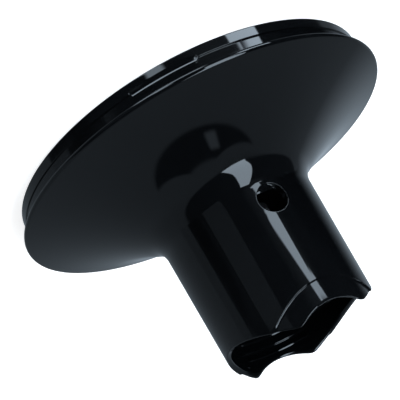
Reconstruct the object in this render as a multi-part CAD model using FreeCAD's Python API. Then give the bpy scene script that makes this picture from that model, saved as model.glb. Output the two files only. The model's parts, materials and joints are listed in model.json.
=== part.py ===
import FreeCAD, Part
import math
import os

# Geared drive lid of a hand-blender food chopper.
# The flared lid closes a round bowl. The blender's motor body drops into the neck and turns a
# coupling, and a planetary gear under the neck turns the blade socket 4.5 times slower.
# Millimetres. Z runs along the neck, and z = 0 is the lower edge of the skirt.

# --- driving dimensions: lid shell ---
FLANGE_R = 77.5              # widest radius of the lid
SKIRT_R = 74.2               # lower band of the skirt, which enters the bowl
SKIRT_UPPER_R = 73.6         # upper band, slightly recessed
SKIRT_STEP_Z = 4.3
SKIRT_WALL = 2.4
EDGE_ROUND = 0.5
FLANGE_Z = 9.1               # seat of the flange on the bowl's rim
FLANGE_EDGE_Z = 10.3         # height of the widest point
FLARE_POINTS = [(74.9, 11.8), (53.9, 19.95), (33.0, 31.7)]   # three points on the concave flare
FLARE_WALL = 2.4
NECK_BASE = (31.42, 35.6)    # a point on the outside of the neck
NECK_DRAFT = 1.6             # degrees, the neck narrows upwards
NECK_FILLET = 10.0
NECK_TOP = 92.0
SOCKET_R = 27.5              # locating land that holds the motor body
SOCKET_RELIEF_R = 27.8
LAND_Z = (54.6, 77.0)
FLOOR_TOP = 34.4
CAVITY_R = 29.5              # where the flare's inner face meets the neck floor

# --- neck end: two narrow notches on the X axis, two wide scallops on the Y axis ---
NOTCH_R = 21.5
NOTCH_AXIS_Z = 108.0
SCALLOP_R = 44.0
SCALLOP_AXIS_Z = 126.5
PEAK_ROUND = 3.5
FINGER_BAND = 8.2            # width of the recessed band that follows each notch
FINGER_DEPTH = 0.7
WINDOW_R = 5.85              # latch windows, on the X axis
WINDOW_Z = 44.4
GROOVE_Z = (80.6, 83.2)      # snap groove inside the neck
GROOVE_DEPTH = 0.6
GROOVE_HALF_ANGLE = 30.0

# --- bayonet lugs ---
LUG_COUNT = 4
LUG_FIRST_ANGLE = 26.3
LUG_SPAN = 19.6
LUG_TOP_Z = 5.6

# --- planetary gear ---
MODULE = 1.0
PRESSURE_ANGLE = math.radians(25)
SUN_TEETH = 12
PLANET_TEETH = 15
RING_TEETH = SUN_TEETH + 2 * PLANET_TEETH
PLANET_COUNT = 3
PLANET_START = 90.0
FLANK_THINNING = 0.07        # taken off each flank for backlash
TIP_HEIGHT = 0.95 * MODULE
ROOT_DEPTH = 1.25 * MODULE
ORBIT_R = (SUN_TEETH + PLANET_TEETH) * MODULE / 2
GEAR_Z = (13.2, 22.2)
RING_Z = (13.0, 22.4)
RING_OUTER_R = 26.5

# --- carrier ---
HUB_R = 8.0
HUB_BOTTOM = 1.0
CARRIER_R = 19.3
CARRIER_Z = (9.9, 12.9)
PILLAR_R = 4.0
TOP_PLATE_Z = (22.5, 25.0)
PIN_R = 2.5
PLANET_BUSH_R = 4.0
DRIVE_INSERT_R = 6.0
DRIVE_INSERT_FLAT = 5.4
DRIVE_INSERT_Z = (1.2, 9.4)
HEX_FLATS = 8.2

# --- input side ---
SHAFT_R = 4.0
SUN_SHAFT_R = 3.0
SHAFT_TOP = 51.5
PILOT_R = 2.0
CLIP_Z = 49.0
COUPLING_Z = (40.6, 54.0)
COUPLING_SKIRT_R = 12.4
SEAL_SEAT_R = 7.5
SEAL_BOSS_R = 10.0
SEAL_BOSS_TOP = 40.0

# --- gear case and bottom cover ---
CASE_R = 29.0
CASE_BOTTOM = 5.6
CASE_FLOOR_TOP = 8.0
CASE_RIM_Z = 27.0
CASE_COVER_Z = (27.3, 29.0)
CASE_COLUMN_R = 2.9
EAR_ORBIT_R = 36.5
EAR_Z = (17.0, 20.0)
EAR_COUNT = 4
COVER_Z = (1.6, 4.4)
COVER_R = 71.4
COVER_SCREW_ORBIT_R = 61.0
COVER_SCREW_COUNT = 6
SCREW_R = 1.5

RUNNING_GAP = 0.04           # radial clearance of each shaft in its bush
X_AXIS = FreeCAD.Vector(1, 0, 0)
Y_AXIS = FreeCAD.Vector(0, 1, 0)
Z_AXIS = FreeCAD.Vector(0, 0, 1)


def point(radius, height):
    """A point of an outline in the XZ plane."""
    return FreeCAD.Vector(radius, 0, height)


def cylinder(radius, low, high, x=0.0, y=0.0):
    return Part.makeCylinder(radius, high - low, FreeCAD.Vector(x, y, low))


def ring(inner, outer, low, high):
    return revolve([(inner, low), (outer, low), (outer, high), (inner, high)])


def polygon(corners):
    vectors = [FreeCAD.Vector(*corner) for corner in corners]
    return Part.Face(Part.makePolygon(vectors + vectors[:1]))


def revolve(outline):
    """Turn a closed outline of (radius, height) points about Z.

    An entry of two points, (middle, end), is an arc from the entry before it.
    """
    edges = []
    start = outline[0]
    for entry in outline[1:] + outline[:1]:
        if isinstance(entry[0], tuple):
            middle, end = entry
            edges.append(Part.Arc(point(*start), point(*middle), point(*end)).toShape())
        else:
            end = entry
            edges.append(Part.LineSegment(point(*start), point(*end)).toShape())
        start = end
    return Part.Face(Part.Wire(edges)).revolve(FreeCAD.Vector(), Z_AXIS, 360)


def sector(inner, outer, low, high, centre_angle, span):
    """Part of a ring, span degrees wide about centre_angle."""
    face = polygon([(inner, 0, low), (outer, 0, low), (outer, 0, high), (inner, 0, high)])
    face.rotate(FreeCAD.Vector(), Z_AXIS, centre_angle - span / 2)
    return face.revolve(FreeCAD.Vector(), Z_AXIS, span)


def polar(radius, angle):
    turn = math.radians(angle)
    return radius * math.cos(turn), radius * math.sin(turn)


def angles(count, first=0.0):
    return [first + index * 360.0 / count for index in range(count)]


def fuse(first, *others):
    return first.fuse(list(others)).removeSplitter()


def turned(shape, angle):
    copy = shape.copy()
    copy.rotate(FreeCAD.Vector(), Z_AXIS, angle)
    return copy


def circle_through(first, second, third):
    """Centre and radius of the circle through three outline points."""
    arc = Part.Arc(point(*first), point(*second), point(*third)).toShape()
    return (arc.Curve.Center.x, arc.Curve.Center.z), arc.Curve.Radius


def on_circle(centre, radius, angle):
    return centre[0] + radius * math.cos(angle), centre[1] + radius * math.sin(angle)


def arc_between(centre, radius, start, end):
    """Arc entry for revolve: the point halfway round, and the end."""
    first = math.atan2(start[1] - centre[1], start[0] - centre[0])
    last = math.atan2(end[1] - centre[1], end[0] - centre[0])
    return on_circle(centre, radius, (first + last) / 2), end


# --- lid shell -----------------------------------------------------------------------------

FLARE_CENTRE, FLARE_R = circle_through(*FLARE_POINTS)


def flare_height(radius, offset=0.0):
    """Height of the flare at a radius, moved into the wall by offset."""
    reach = radius - FLARE_CENTRE[0]
    return FLARE_CENTRE[1] - math.sqrt((FLARE_R + offset) ** 2 - reach ** 2)


def neck_outer_radius(height):
    return NECK_BASE[0] - (height - NECK_BASE[1]) * math.tan(math.radians(NECK_DRAFT))


def flange_top_round():
    """Centre and radius of the round that joins the flange's edge to the flare."""
    across = FLANGE_R - FLARE_CENTRE[0]
    rise = FLANGE_EDGE_Z - FLARE_CENTRE[1]
    radius = (across ** 2 + rise ** 2 - FLARE_R ** 2) / (2 * (FLARE_R + across))
    return (FLANGE_R - radius, FLANGE_EDGE_Z), radius


def neck_fillet():
    """Centre of the fillet between flare and neck, and its two tangent points."""
    draft = math.radians(NECK_DRAFT)
    up = (-math.sin(draft), math.cos(draft))
    out = (math.cos(draft), math.sin(draft))
    start = [NECK_BASE[k] + out[k] * NECK_FILLET - FLARE_CENTRE[k] for k in (0, 1)]
    along = start[0] * up[0] + start[1] * up[1]
    reach = FLARE_R - NECK_FILLET
    travel = -along - math.sqrt(along ** 2 - start[0] ** 2 - start[1] ** 2 + reach ** 2)
    centre = [FLARE_CENTRE[k] + start[k] + up[k] * travel for k in (0, 1)]
    on_neck = tuple(centre[k] - out[k] * NECK_FILLET for k in (0, 1))
    scale = FLARE_R / reach
    on_flare = tuple(FLARE_CENTRE[k] + (centre[k] - FLARE_CENTRE[k]) * scale for k in (0, 1))
    return tuple(centre), on_flare, on_neck


def outer_outline():
    """Outside of the lid from the skirt's lower edge to the top of the neck."""
    corner = math.sqrt(0.5)
    edge_middle = (SKIRT_R - EDGE_ROUND * (1 - corner), EDGE_ROUND * (1 - corner))
    step = SKIRT_R - SKIRT_UPPER_R
    step_middle = (SKIRT_UPPER_R + step * corner, SKIRT_STEP_Z - step * (1 - corner))
    low_round = FLANGE_EDGE_Z - FLANGE_Z
    low_centre = (FLANGE_R - low_round, FLANGE_EDGE_Z)
    top_centre, top_round = flange_top_round()
    lean = math.atan2(FLARE_CENTRE[1] - top_centre[1], FLARE_CENTRE[0] - top_centre[0])
    flare_start = on_circle(top_centre, top_round, lean)
    fillet_centre, flare_end, neck_start = neck_fillet()
    return [
        (SKIRT_R - EDGE_ROUND, 0),
        (edge_middle, (SKIRT_R, EDGE_ROUND)),
        (SKIRT_R, SKIRT_STEP_Z - step),
        (step_middle, (SKIRT_UPPER_R, SKIRT_STEP_Z)),
        (SKIRT_UPPER_R, FLANGE_Z),
        (FLANGE_R - low_round, FLANGE_Z),
        (on_circle(low_centre, low_round, -math.pi / 4), (FLANGE_R, FLANGE_EDGE_Z)),
        (on_circle(top_centre, top_round, lean / 2), flare_start),
        arc_between(FLARE_CENTRE, FLARE_R, flare_start, flare_end),
        (on_circle(fillet_centre, NECK_FILLET, fillet_turn(fillet_centre, flare_end, neck_start)),
         neck_start),
        (neck_outer_radius(NECK_TOP), NECK_TOP),
    ]


def fillet_turn(centre, first, last):
    """Angle of the point halfway round the neck fillet, which lies on its inner side."""
    turn = [math.atan2(spot[1] - centre[1], spot[0] - centre[0]) % (2 * math.pi)
            for spot in (first, last)]
    return sum(turn) / 2


def outer_body():
    """The lid's outer form, filled solid."""
    return revolve([(0, 0)] + outer_outline() + [(0, NECK_TOP)])


def shell_body():
    """The turned shell, before the notches, windows, bosses and lugs."""
    inner_r = SKIRT_R - SKIRT_WALL
    step = SOCKET_RELIEF_R - SOCKET_R
    floor_under = flare_height(CAVITY_R, FLARE_WALL)
    flare_foot = (inner_r, flare_height(inner_r, FLARE_WALL))
    seal_hole_r = SHAFT_R + 1.0
    inside = [
        (SOCKET_RELIEF_R, NECK_TOP),
        (SOCKET_RELIEF_R, LAND_Z[1]),
        (SOCKET_R, LAND_Z[1] - step),
        (SOCKET_R, LAND_Z[0] + step),
        (SOCKET_RELIEF_R, LAND_Z[0]),
        (SOCKET_RELIEF_R, FLOOR_TOP + 1.0),
        (SOCKET_RELIEF_R - 1.0, FLOOR_TOP),
        (SEAL_BOSS_R, FLOOR_TOP),
        (SEAL_BOSS_R, SEAL_BOSS_TOP),
        (SEAL_SEAT_R, SEAL_BOSS_TOP),
        (SEAL_SEAT_R, FLOOR_TOP),
        (seal_hole_r, FLOOR_TOP),
        (seal_hole_r, floor_under),
        (CAVITY_R, floor_under),
        arc_between(FLARE_CENTRE, FLARE_R + FLARE_WALL, (CAVITY_R, floor_under), flare_foot),
        (inner_r, EDGE_ROUND),
        (inner_r + EDGE_ROUND, 0),
    ]
    return revolve(outer_outline() + inside)


def rim_cutter():
    """Everything above the wavy end of the neck, with its peaks rounded."""
    reach = FLANGE_R
    notch = Part.makeCylinder(NOTCH_R, 2 * reach, FreeCAD.Vector(-reach, 0, NOTCH_AXIS_Z), X_AXIS)
    scallop = Part.makeCylinder(SCALLOP_R, 2 * reach,
                                FreeCAD.Vector(0, -reach, SCALLOP_AXIS_Z), Y_AXIS)
    return notch, scallop


def round_peaks(shell):
    """Round the four ridges where a notch meets a scallop."""
    ridges = []
    for edge in shell.Edges:
        middle = edge.valueAt((edge.FirstParameter + edge.LastParameter) / 2)
        across = math.hypot(middle.x, middle.y)
        inside_wall = SOCKET_RELIEF_R + 0.2 < across < neck_outer_radius(NECK_TOP) - 0.2
        if middle.z > NECK_TOP - 3 and inside_wall:
            ridges.append(edge)
    return shell.makeFillet(PEAK_ROUND, ridges)


def finger_bands():
    """Shallow recesses outside the neck, one round each notch."""
    reach = FLANGE_R
    low = NOTCH_AXIS_Z - NOTCH_R - FINGER_BAND - 2
    high = NECK_TOP + 1
    skin = revolve([
        (neck_outer_radius(low) - FINGER_DEPTH, low),
        (neck_outer_radius(low) + 2, low),
        (neck_outer_radius(high) + 2, high),
        (neck_outer_radius(high) - FINGER_DEPTH, high),
    ])
    drum = Part.makeCylinder(NOTCH_R + FINGER_BAND, 2 * reach,
                             FreeCAD.Vector(-reach, 0, NOTCH_AXIS_Z), X_AXIS)
    return skin.common(drum)


def latch_windows():
    inner = SOCKET_R - 5
    length = FLANGE_R - inner
    windows = []
    for side in (-1, 1):
        start = FreeCAD.Vector(side * inner, 0, WINDOW_Z)
        windows.append(Part.makeCylinder(WINDOW_R, length, start, X_AXIS * side))
    return windows


def snap_grooves():
    outer = SOCKET_RELIEF_R + GROOVE_DEPTH
    span = 2 * GROOVE_HALF_ANGLE
    return [sector(SOCKET_R - 1, outer, *GROOVE_Z, centre, span) for centre in (0, 180)]


def bayonet_lugs():
    """Raised pads on the skirt's upper band, flush with the lower band."""
    inner = SKIRT_UPPER_R - 0.5
    low = SKIRT_STEP_Z - 1.0
    return [sector(inner, SKIRT_R, low, LUG_TOP_Z, angle, LUG_SPAN)
            for angle in angles(LUG_COUNT, LUG_FIRST_ANGLE)]


def shell_bosses():
    """Screw bosses for the gear case and the bottom cover, trimmed to the lid's form."""
    bosses = []
    for angle in angles(EAR_COUNT, 45):
        bosses.append(cylinder(4.0, EAR_Z[1], FLOOR_TOP, *polar(EAR_ORBIT_R, angle)))
    for angle in angles(COVER_SCREW_COUNT):
        bosses.append(cylinder(3.6, COVER_Z[1], FLOOR_TOP, *polar(COVER_SCREW_ORBIT_R, angle)))
    return bosses


def shell_ribs():
    """Radial ribs under the flare, midway between the cover's screws."""
    ribs = []
    for angle in angles(COVER_SCREW_COUNT, 180 / COVER_SCREW_COUNT):
        rib = Part.makeBox(26, 1.6, FLOOR_TOP, FreeCAD.Vector(44, -0.8, 8.5))
        ribs.append(turned(rib, angle))
    return ribs


def lid_shell():
    shell = shell_body()
    for cutter in rim_cutter():
        shell = shell.cut(cutter)
    shell = round_peaks(shell)
    shell = shell.cut([finger_bands()] + latch_windows() + snap_grooves())
    inside_parts = [part.common(outer_body()) for part in shell_bosses() + shell_ribs()]
    shell = fuse(shell, *inside_parts, *bayonet_lugs())
    pilots = []
    for angle in angles(EAR_COUNT, 45):
        pilots.append(cylinder(SCREW_R, EAR_Z[1], EAR_Z[1] + 5, *polar(EAR_ORBIT_R, angle)))
    for angle in angles(COVER_SCREW_COUNT):
        spot = polar(COVER_SCREW_ORBIT_R, angle)
        pilots.append(cylinder(SCREW_R, COVER_Z[1], COVER_Z[1] + 7, *spot))
    return shell.cut(pilots)


# --- bottom cover and its seals -------------------------------------------------------------

COVER_SEAL_Z = (5.4, 7.4)
OUTPUT_SEAL_R = 11.0
COUNTERBORE_TOP = 3.2
SCREW_HEAD_R = 2.9


def bottom_cover():
    rim_top = 8.4
    groove_r = COVER_R - 1.1
    collar_r = OUTPUT_SEAL_R + 2
    disc = revolve([
        (OUTPUT_SEAL_R, COVER_Z[0]),
        (collar_r + 2, COVER_Z[0]),
        (collar_r + 3, COVER_Z[0] + 0.6),
        (54.0, COVER_Z[0] + 0.6),
        (55.0, COVER_Z[0]),
        (COVER_R, COVER_Z[0]),
        (COVER_R, COVER_SEAL_Z[0]),
        (groove_r, COVER_SEAL_Z[0]),
        (groove_r, COVER_SEAL_Z[1]),
        (COVER_R, COVER_SEAL_Z[1]),
        (COVER_R, rim_top),
        (COVER_R - 2.4, rim_top),
        (COVER_R - 2.4, COVER_Z[1]),
        (collar_r, COVER_Z[1]),
        (OUTPUT_SEAL_R, COVER_Z[1]),
    ])
    holes = []
    for angle in angles(COVER_SCREW_COUNT):
        spot = polar(COVER_SCREW_ORBIT_R, angle)
        holes.append(cylinder(SCREW_R + 0.2, 0, 10, *spot))
        holes.append(cylinder(SCREW_HEAD_R + 0.2, 0, COUNTERBORE_TOP, *spot))
    return disc.cut(holes)


def cover_seal():
    inner = COVER_R - 1.1
    outer = SKIRT_R - SKIRT_WALL
    low, high = COVER_SEAL_Z[0] + 0.1, COVER_SEAL_Z[1] - 0.1
    bulge = (outer, (low + high) / 2)
    return revolve([(inner, low), (COVER_R - 0.3, low), (bulge, (COVER_R - 0.3, high)), (inner, high)])


def output_seal():
    """Lip seal round the carrier's hub."""
    lip = HUB_R + RUNNING_GAP
    low, high = COVER_Z[0] + 0.2, COVER_Z[1]
    middle = (low + high) / 2
    return revolve([
        (lip, low),
        (OUTPUT_SEAL_R, low),
        (OUTPUT_SEAL_R, high),
        (lip + 1.4, high),
        (lip + 1.0, middle),
        (lip, middle - 0.2),
    ])


# --- gear case ------------------------------------------------------------------------------

KEY_WIDTH = 5.0
KEY_R = 27.6
CASE_SHELF_R = 24.5
OUTPUT_BUSH_R = 9.8
OUTPUT_BUSH_TOP = 9.0
CASE_SCREW_R = 1.1
CASE_SCREW_HEAD_R = 2.0
CASE_SCREW_DEPTH = 9.0


def key_bars(width, radius, low, high):
    return [turned(Part.makeBox(radius, width, high - low, FreeCAD.Vector(0, -width / 2, low)), angle)
            for angle in angles(4, 45)]


def gear_case():
    cup = revolve([
        (OUTPUT_BUSH_R, CASE_BOTTOM),
        (CASE_R - 1.5, CASE_BOTTOM),
        (CASE_R, CASE_BOTTOM + 1.5),
        (CASE_R, CASE_RIM_Z),
        (RING_OUTER_R, CASE_RIM_Z),
        (RING_OUTER_R, RING_Z[0]),
        (CASE_SHELF_R, RING_Z[0]),
        (CASE_SHELF_R, CASE_FLOOR_TOP),
        (OUTPUT_BUSH_R + 3, CASE_FLOOR_TOP),
        (OUTPUT_BUSH_R + 3, OUTPUT_BUSH_TOP),
        (OUTPUT_BUSH_R, OUTPUT_BUSH_TOP),
    ])
    extras = []
    for angle in angles(4):
        extras.append(cylinder(CASE_COLUMN_R, RING_Z[0], CASE_RIM_Z, *polar(CASE_R, angle)))
    for angle in angles(EAR_COUNT, 45):
        arm = Part.makeBox(EAR_ORBIT_R - CASE_R + 1, 8, EAR_Z[1] - EAR_Z[0],
                           FreeCAD.Vector(CASE_R - 1, -4, EAR_Z[0]))
        extras.append(turned(arm, angle))
        extras.append(cylinder(4.0, *EAR_Z, *polar(EAR_ORBIT_R, angle)))
    bore = cylinder(RING_OUTER_R, RING_Z[0], CASE_RIM_Z + 1)
    slot_space = cylinder(KEY_R + 0.05, RING_Z[0], CASE_RIM_Z + 1)
    cuts = [bar.common(slot_space) for bar in key_bars(KEY_WIDTH + 0.1, KEY_R + 1, RING_Z[0],
                                                       CASE_RIM_Z + 1)]
    cuts.append(bore)
    for angle in angles(EAR_COUNT, 45):
        cuts.append(cylinder(SCREW_R + 0.2, EAR_Z[0] - 1, EAR_Z[1] + 1, *polar(EAR_ORBIT_R, angle)))
    for angle in angles(4):
        low = CASE_RIM_Z - CASE_SCREW_DEPTH
        cuts.append(cylinder(CASE_SCREW_R, low, CASE_RIM_Z + 1, *polar(CASE_R, angle)))
    return fuse(cup, *extras).cut(cuts)


def case_cover_footprint(low, high):
    disc = cylinder(CASE_R, low, high)
    return fuse(disc, *[cylinder(CASE_COLUMN_R, low, high, *polar(CASE_R, angle))
                        for angle in angles(4)])


def gear_case_gasket():
    plate = case_cover_footprint(CASE_RIM_Z, CASE_COVER_Z[0])
    holes = [cylinder(CASE_SCREW_R + 0.1, CASE_RIM_Z, CASE_COVER_Z[0], *polar(CASE_R, angle))
             for angle in angles(4)]
    return plate.cut(holes + [cylinder(RING_OUTER_R + 0.1, CASE_RIM_Z - 1, CASE_COVER_Z[0] + 1)])


def gear_case_cover():
    low, high = CASE_COVER_Z
    plate = case_cover_footprint(low, high)
    spigot = ring(RING_OUTER_R - 2.4, RING_OUTER_R - 0.1, RING_Z[1], low)
    boss = cylinder(9.0, INPUT_BUSH_Z[0] - 0.3, INPUT_BUSH_Z[1])
    collar = cylinder(THRUST_R, INPUT_BUSH_Z[0] - 0.3, low)
    solid = fuse(plate, spigot, boss, collar)
    cuts = [cylinder(INPUT_BUSH_R, 0, FLOOR_TOP)]
    for angle in angles(4):
        spot = polar(CASE_R, angle)
        cuts.append(cylinder(CASE_SCREW_R + 0.1, low, high, *spot))
        cone = Part.makeCone(CASE_SCREW_R, CASE_SCREW_HEAD_R, 0.9, FreeCAD.Vector(*spot, high - 0.9))
        cuts.append(cone)
    return solid.cut(cuts)


def gear_case_screws():
    """Four countersunk screws that hold the case cover."""
    screws = []
    for angle in angles(4):
        spot = polar(CASE_R, angle)
        top = CASE_COVER_Z[1]
        shank = cylinder(CASE_SCREW_R, CASE_RIM_Z - CASE_SCREW_DEPTH + 1, top - 0.8, *spot)
        head = Part.makeCone(CASE_SCREW_R, CASE_SCREW_HEAD_R, 0.9, FreeCAD.Vector(*spot, top - 0.9))
        screws.append(fuse(shank, head).cut(cross_slot(spot, top, -0.5, 2.6, 0.6)))
    return Part.makeCompound(screws)


def cross_slot(spot, face_z, depth, length, width):
    """A cross recess; depth is negative when it is cut downwards from face_z."""
    low = min(face_z, face_z + depth)
    bars = []
    for long_x, long_y in ((length, width), (width, length)):
        corner = FreeCAD.Vector(spot[0] - long_x / 2, spot[1] - long_y / 2, low)
        bars.append(Part.makeBox(long_x, long_y, abs(depth), corner))
    return bars[0].fuse(bars[1])


def pan_screw(spot, head_bottom, head_top, tip):
    """A screw driven upwards: its head is at the bottom."""
    head = cylinder(SCREW_HEAD_R, head_bottom, head_top, *spot)
    edges = [edge for edge in head.Edges if abs(edge.BoundBox.ZMax - head_bottom) < 1e-6]
    head = head.makeFillet(0.5, edges)
    shank = cylinder(SCREW_R, head_top - 0.1, tip, *spot)
    return fuse(head, shank).cut(cross_slot(spot, head_bottom, 0.8, 3.2, 0.8))


def case_mount_screws():
    spots = [polar(EAR_ORBIT_R, angle) for angle in angles(EAR_COUNT, 45)]
    return Part.makeCompound([pan_screw(spot, EAR_Z[0] - 1.6, EAR_Z[0], EAR_Z[1] + 4.5)
                              for spot in spots])


def cover_screws():
    spots = [polar(COVER_SCREW_ORBIT_R, angle) for angle in angles(COVER_SCREW_COUNT)]
    return Part.makeCompound([pan_screw(spot, COUNTERBORE_TOP - 1.5, COUNTERBORE_TOP,
                                        COVER_Z[1] + 6.5) for spot in spots])


# --- bushes, seals and washers --------------------------------------------------------------

INPUT_BUSH_R = 6.5
INPUT_BUSH_Z = (26.2, 31.0)
THRUST_R = 10.4


def output_bush():
    return ring(HUB_R + RUNNING_GAP, OUTPUT_BUSH_R, CASE_BOTTOM, OUTPUT_BUSH_TOP)


def input_bush():
    return ring(SHAFT_R + RUNNING_GAP, INPUT_BUSH_R, *INPUT_BUSH_Z)


def lower_thrust_washer():
    return ring(HUB_R + 0.2, OUTPUT_BUSH_R + 2.8, OUTPUT_BUSH_TOP, CARRIER_Z[0] - 0.05)


def upper_thrust_washer():
    return ring(SHAFT_R + 1.7, THRUST_R, TOP_PLATE_Z[1] + 0.05, INPUT_BUSH_Z[0] - 0.3)


def input_seal():
    lip = SHAFT_R + RUNNING_GAP
    low, high = FLOOR_TOP, FLOOR_TOP + 3.6
    middle = (low + high) / 2
    return revolve([
        (lip + 1.0, low),
        (SEAL_SEAT_R, low),
        (SEAL_SEAT_R, high),
        (lip + 1.4, high),
        (lip, middle + 0.6),
        (lip, middle),
    ])


def seal_washer():
    return ring(SHAFT_R + 0.6, SEAL_SEAT_R, FLOOR_TOP + 3.7, FLOOR_TOP + 4.6)


# --- gears ----------------------------------------------------------------------------------

def involute(angle):
    return math.tan(angle) - angle


def gear_face(teeth, tip_height, root_depth, thinning):
    """Face of an external gear with a tooth centred on the X axis.

    Each flank is an arc through three points of its involute. Below the base circle it runs
    straight to the root.
    """
    pitch_r = teeth * MODULE / 2
    base_r = pitch_r * math.cos(PRESSURE_ANGLE)
    tip_r = pitch_r + tip_height
    root_r = pitch_r - root_depth
    start_r = max(base_r, root_r)
    half_pitch = math.pi / (2 * teeth) - thinning / pitch_r + involute(PRESSURE_ANGLE)

    def flank_spot(radius, centre, side):
        half = half_pitch - involute(math.acos(base_r / radius))
        turn = centre + side * half
        return FreeCAD.Vector(radius * math.cos(turn), radius * math.sin(turn), 0)

    def root_spot(turn):
        return FreeCAD.Vector(root_r * math.cos(turn), root_r * math.sin(turn), 0)

    edges = []
    middle_r = (start_r + tip_r) / 2
    base_half = half_pitch - involute(math.acos(base_r / start_r))
    for tooth in range(teeth):
        centre = 2 * math.pi * tooth / teeth
        following = 2 * math.pi * (tooth + 1) / teeth
        rising = [flank_spot(radius, centre, -1) for radius in (start_r, middle_r, tip_r)]
        falling = [flank_spot(radius, centre, 1) for radius in (tip_r, middle_r, start_r)]
        tip = FreeCAD.Vector(tip_r * math.cos(centre), tip_r * math.sin(centre), 0)
        edges.append(Part.Arc(*rising).toShape())
        edges.append(Part.Arc(rising[2], tip, falling[0]).toShape())
        edges.append(Part.Arc(*falling).toShape())
        root_start = root_spot(centre + base_half)
        root_end = root_spot(following - base_half)
        next_start = flank_spot(start_r, following, -1)
        if start_r > root_r:
            edges.append(Part.LineSegment(falling[2], root_start).toShape())
        root_middle = root_spot((centre + following) / 2)
        edges.append(Part.Arc(root_start, root_middle, root_end).toShape())
        if start_r > root_r:
            edges.append(Part.LineSegment(root_end, next_start).toShape())
    return Part.Face(Part.Wire(edges))


def gear_solid(teeth, low, high, tip_height=TIP_HEIGHT, root_depth=ROOT_DEPTH,
               thinning=FLANK_THINNING):
    solid = gear_face(teeth, tip_height, root_depth, thinning).extrude(Z_AXIS * (high - low))
    solid.translate(Z_AXIS * low)
    return solid


def sun_gear():
    bore = cylinder(SUN_SHAFT_R, GEAR_Z[0], GEAR_Z[1])
    return turned(gear_solid(SUN_TEETH, *GEAR_Z).cut(bore), PLANET_START)


def planet_gear(angle):
    """A planet with a tooth pointing outwards, so that a gap faces the sun's tooth."""
    blank = gear_solid(PLANET_TEETH, *GEAR_Z).cut(cylinder(PLANET_BUSH_R, *GEAR_Z))
    planet = turned(blank, angle)
    planet.translate(FreeCAD.Vector(*polar(ORBIT_R, angle), 0))
    return planet


def ring_gear():
    """Internal gear: a gear-shaped hole with gaps on the planets' lines."""
    hole = gear_solid(RING_TEETH, *RING_Z, ROOT_DEPTH, TIP_HEIGHT, -FLANK_THINNING)
    body = cylinder(RING_OUTER_R, *RING_Z)
    key_space = cylinder(KEY_R, *RING_Z)
    keys = [bar.common(key_space) for bar in key_bars(KEY_WIDTH, KEY_R + 1, *RING_Z)]
    return fuse(body, *keys).cut(turned(hole, PLANET_START))


def planet_bush(angle):
    bush = ring(PIN_R + RUNNING_GAP, PLANET_BUSH_R, *GEAR_Z)
    bush.translate(FreeCAD.Vector(*polar(ORBIT_R, angle), 0))
    return bush


# --- carrier --------------------------------------------------------------------------------

PIN_BOTTOM = CARRIER_Z[0] + 0.5
PLANET_ANGLES = angles(PLANET_COUNT, PLANET_START)
PILLAR_ANGLES = angles(PLANET_COUNT, PLANET_START + 180 / PLANET_COUNT)
CARRIER_CLIP_Z = (4.7, 5.5)
CARRIER_CLIP_GROOVE_R = 7.4


def with_flats(shape, half_width):
    """Cut two flats on a round part, square to Y."""
    box = shape.BoundBox
    slab = Part.makeBox(2 * box.XMax, 2 * half_width, box.ZLength,
                        FreeCAD.Vector(-box.XMax, -half_width, box.ZMin))
    return shape.common(slab)


def planet_carrier():
    """Lower plate with three pillars and the hub that holds the drive insert."""
    plate = cylinder(CARRIER_R, *CARRIER_Z)
    hub = cylinder(HUB_R, HUB_BOTTOM, CARRIER_Z[0])
    pillars = [cylinder(PILLAR_R, CARRIER_Z[1], TOP_PLATE_Z[0], *polar(ORBIT_R, angle))
               for angle in PILLAR_ANGLES]
    insert = with_flats(cylinder(DRIVE_INSERT_R, 0, DRIVE_INSERT_Z[1]), DRIVE_INSERT_FLAT)
    cuts = [insert, cylinder(PILOT_R + RUNNING_GAP, 11.2, CARRIER_Z[1])]
    cuts.append(ring(CARRIER_CLIP_GROOVE_R, HUB_R + 1, *CARRIER_CLIP_Z))
    cuts += [cylinder(PIN_R, PIN_BOTTOM, CARRIER_Z[1], *polar(ORBIT_R, angle))
             for angle in PLANET_ANGLES]
    cuts += [cylinder(SCREW_R, TOP_PLATE_Z[0] - 7, TOP_PLATE_Z[0], *polar(ORBIT_R, angle))
             for angle in PILLAR_ANGLES]
    return fuse(plate, hub, *pillars).cut(cuts)


def carrier_plate():
    plate = ring(SHAFT_R + 1.5, CARRIER_R, *TOP_PLATE_Z)
    cuts = [cylinder(PIN_R, *TOP_PLATE_Z, *polar(ORBIT_R, angle)) for angle in PLANET_ANGLES]
    cuts += [cylinder(SCREW_R + 0.1, *TOP_PLATE_Z, *polar(ORBIT_R, angle))
             for angle in PILLAR_ANGLES]
    return plate.cut(cuts)


def carrier_screws():
    screws = []
    for angle in PILLAR_ANGLES:
        spot = polar(ORBIT_R, angle)
        head = cylinder(2.6, TOP_PLATE_Z[1], TOP_PLATE_Z[1] + 1.4, *spot)
        shank = cylinder(SCREW_R, TOP_PLATE_Z[0] - 6, TOP_PLATE_Z[1] + 0.1, *spot)
        slot = cross_slot(spot, TOP_PLATE_Z[1] + 1.4, -0.8, 3.2, 0.8)
        screws.append(fuse(head, shank).cut(slot))
    return Part.makeCompound(screws)


def planet_pins():
    return Part.makeCompound([cylinder(PIN_R, PIN_BOTTOM, TOP_PLATE_Z[1] - 0.1, *polar(ORBIT_R, angle))
                              for angle in PLANET_ANGLES])


def hex_prism(across_flats, low, high):
    corner_r = across_flats / math.sqrt(3)
    corners = [(*polar(corner_r, angle), low) for angle in angles(6)]
    return polygon(corners).extrude(Z_AXIS * (high - low))


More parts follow.
